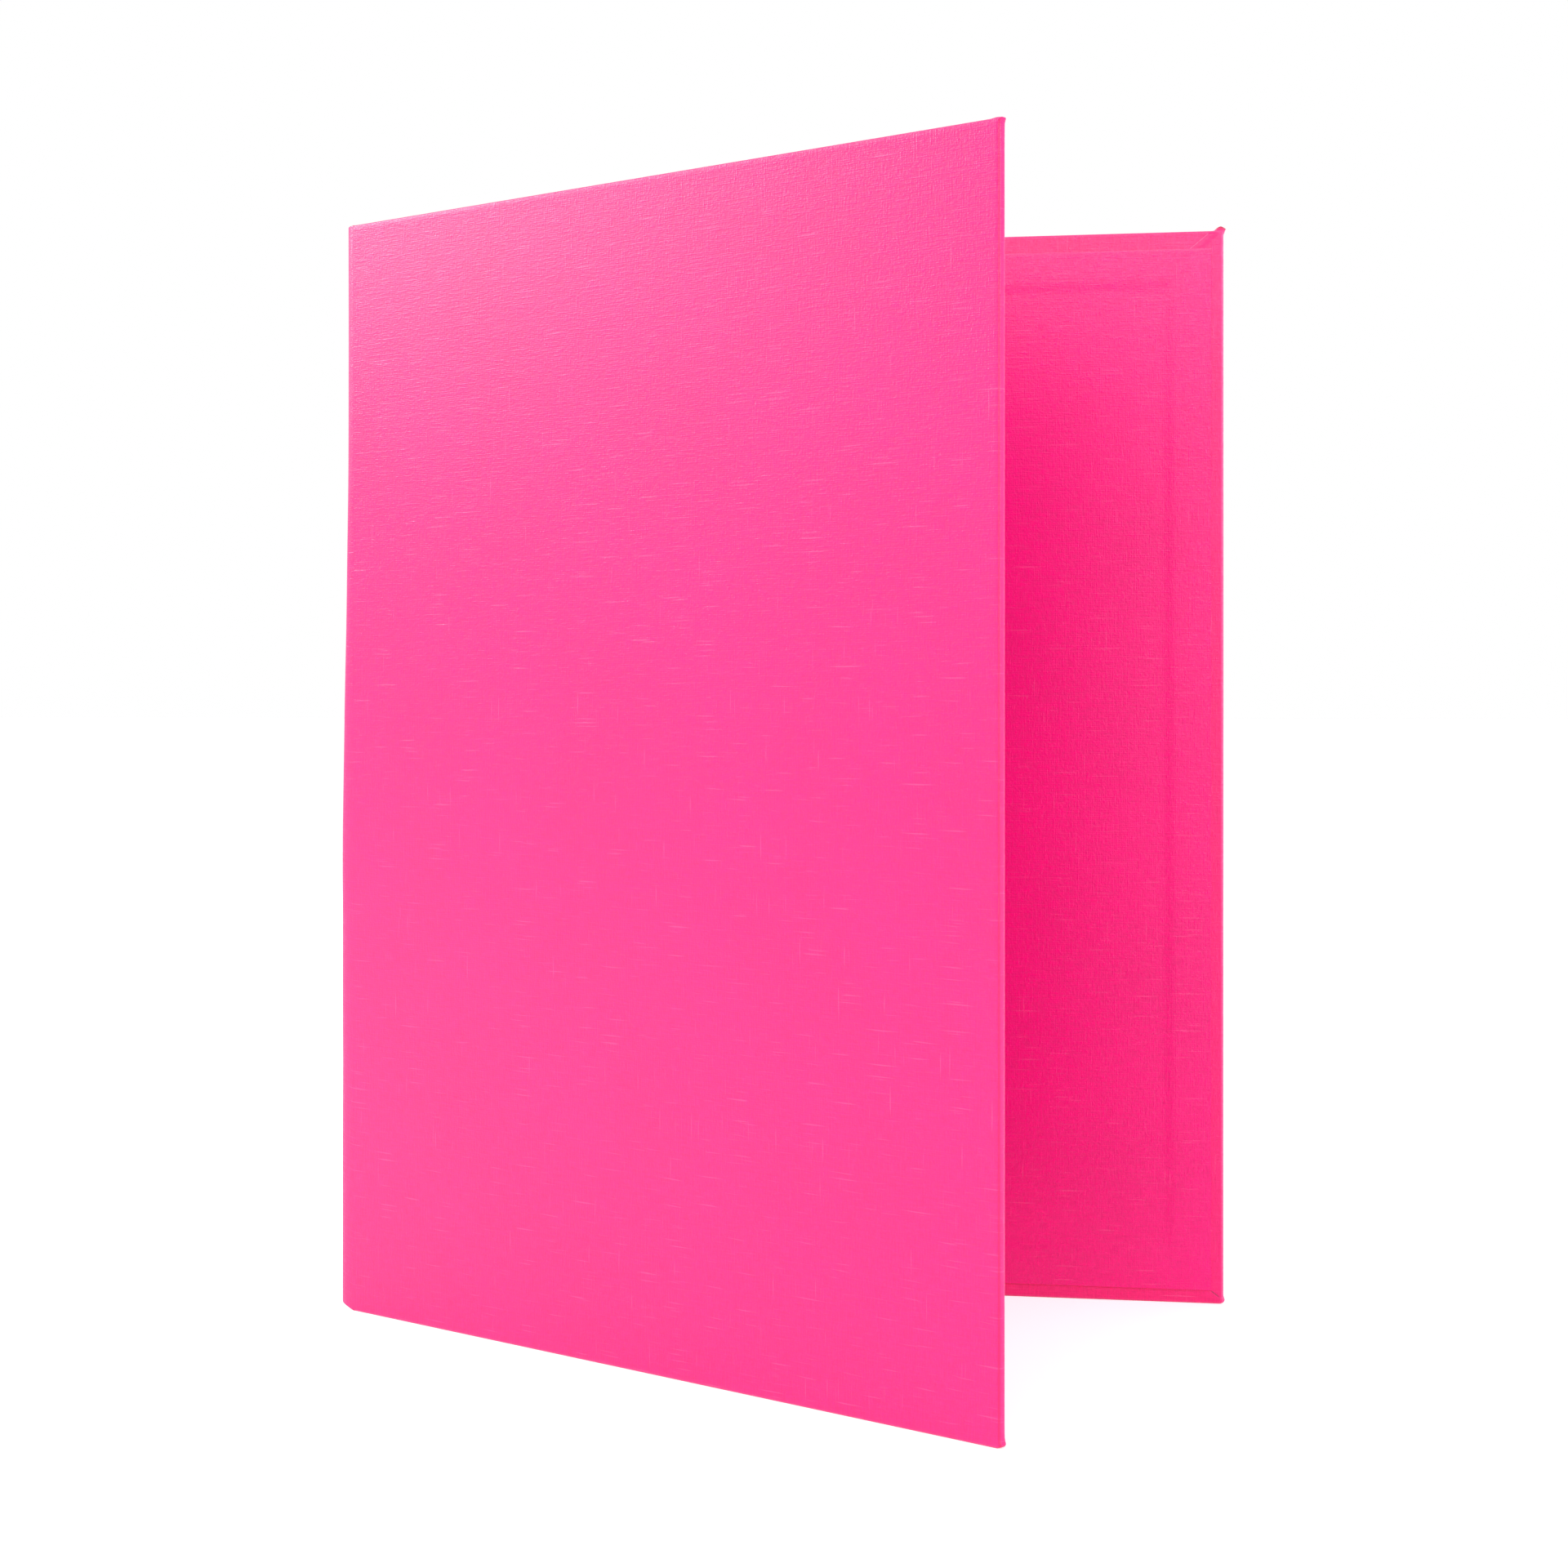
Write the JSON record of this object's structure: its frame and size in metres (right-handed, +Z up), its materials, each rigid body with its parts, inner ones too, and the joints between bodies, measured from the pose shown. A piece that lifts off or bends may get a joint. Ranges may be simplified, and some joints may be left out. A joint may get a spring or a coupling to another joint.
{
  "type": "four-ring binder",
  "caption": "Tall stiff-backed ring binder covered in pink linen-textured paper, standing part open, with a toggle ring mechanism riveted to the inside of its spine.",
  "frame": {"origin": "middle of the spine's foot, on the surface that the binder stands on", "axes": "+Z up along the spine; +X from the spine into the binder, the way the closed covers point; Y across the spine, with the back cover on the +Y side and the front cover on the -Y side"},
  "size_m": [0.2535, 0.1983, 0.318],
  "materials": {
    "linen_cover": "matte",
    "linen_lining": "matte",
    "greyboard": "matte",
    "plated_shield": "satin",
    "ring_wire": "polished",
    "rivet_nickel": "satin",
    "mechanism_steel": "satin"
  },
  "bodies": {
    "spine": {"spine_board": "greyboard", "spine_wrap": "linen_cover", "spine_lining": "linen_lining", "front_hinge_strip": "linen_cover", "back_hinge_strip": "linen_cover", "cover_plate": "plated_shield", "lower_rivet": "rivet_nickel", "upper_rivet": "rivet_nickel", "lower_spacer": "mechanism_steel", "upper_spacer": "mechanism_steel", "lower_lever_pin": "mechanism_steel", "upper_lever_pin": "mechanism_steel"},
    "front_cover": {"front_board": "greyboard", "front_wrap": "linen_cover", "front_lining": "linen_lining"},
    "back_cover": {"back_board": "greyboard", "back_wrap": "linen_cover", "back_lining": "linen_lining"},
    "left_carrier": {"left_blade": "mechanism_steel", "left_ring_1": "ring_wire", "left_ring_2": "ring_wire", "left_ring_3": "ring_wire", "left_ring_4": "ring_wire"},
    "right_carrier": {"right_blade": "mechanism_steel", "right_ring_1": "ring_wire", "right_ring_2": "ring_wire", "right_ring_3": "ring_wire", "right_ring_4": "ring_wire"},
    "lower_lever": {"lower_lever": "mechanism_steel"},
    "upper_lever": {"upper_lever": "mechanism_steel"}
  },
  "joints": [
    {"name": "front_cover_hinge", "type": "hinge", "parent": "spine", "child": "front_cover", "pos_m": [-0.00108, -0.0305, 0], "axis": [0, 0, -1], "range_deg": [-33, 147], "deforming": ["front_hinge_strip"]},
    {"name": "back_cover_hinge", "type": "hinge", "parent": "spine", "child": "back_cover", "pos_m": [-0.00108, 0.0305, 0], "axis": [0, 0, 1], "range_deg": [0, 180], "deforming": ["back_hinge_strip"]},
    {"name": "ring_opening", "type": "hinge", "parent": "spine", "child": "left_carrier", "pos_m": [0.0046, -0.0112, 0], "axis": [0, 0, -1], "range_deg": [0, 13]},
    {"name": "right_ring_opening", "type": "hinge", "parent": "spine", "child": "right_carrier", "pos_m": [0.0046, 0.0112, 0], "axis": [0, 0, 1], "range_deg": [0, 13]},
    {"name": "upper_lever_pivot", "type": "hinge", "parent": "spine", "child": "upper_lever", "pos_m": [0.0052, 0, 0.2945], "axis": [0, -1, 0], "range_deg": [0, 18.2]},
    {"name": "lower_lever_pivot", "type": "hinge", "parent": "spine", "child": "lower_lever", "pos_m": [0.0052, 0, 0.0235], "axis": [0, 1, 0], "range_deg": [0, 18.2]}
  ],
  "couplings": [
    {"joint": "right_ring_opening", "follows": "ring_opening", "ratio": 1},
    {"joint": "upper_lever_pivot", "follows": "ring_opening", "ratio": 1.4},
    {"joint": "lower_lever_pivot", "follows": "ring_opening", "ratio": 1.4}
  ]
}
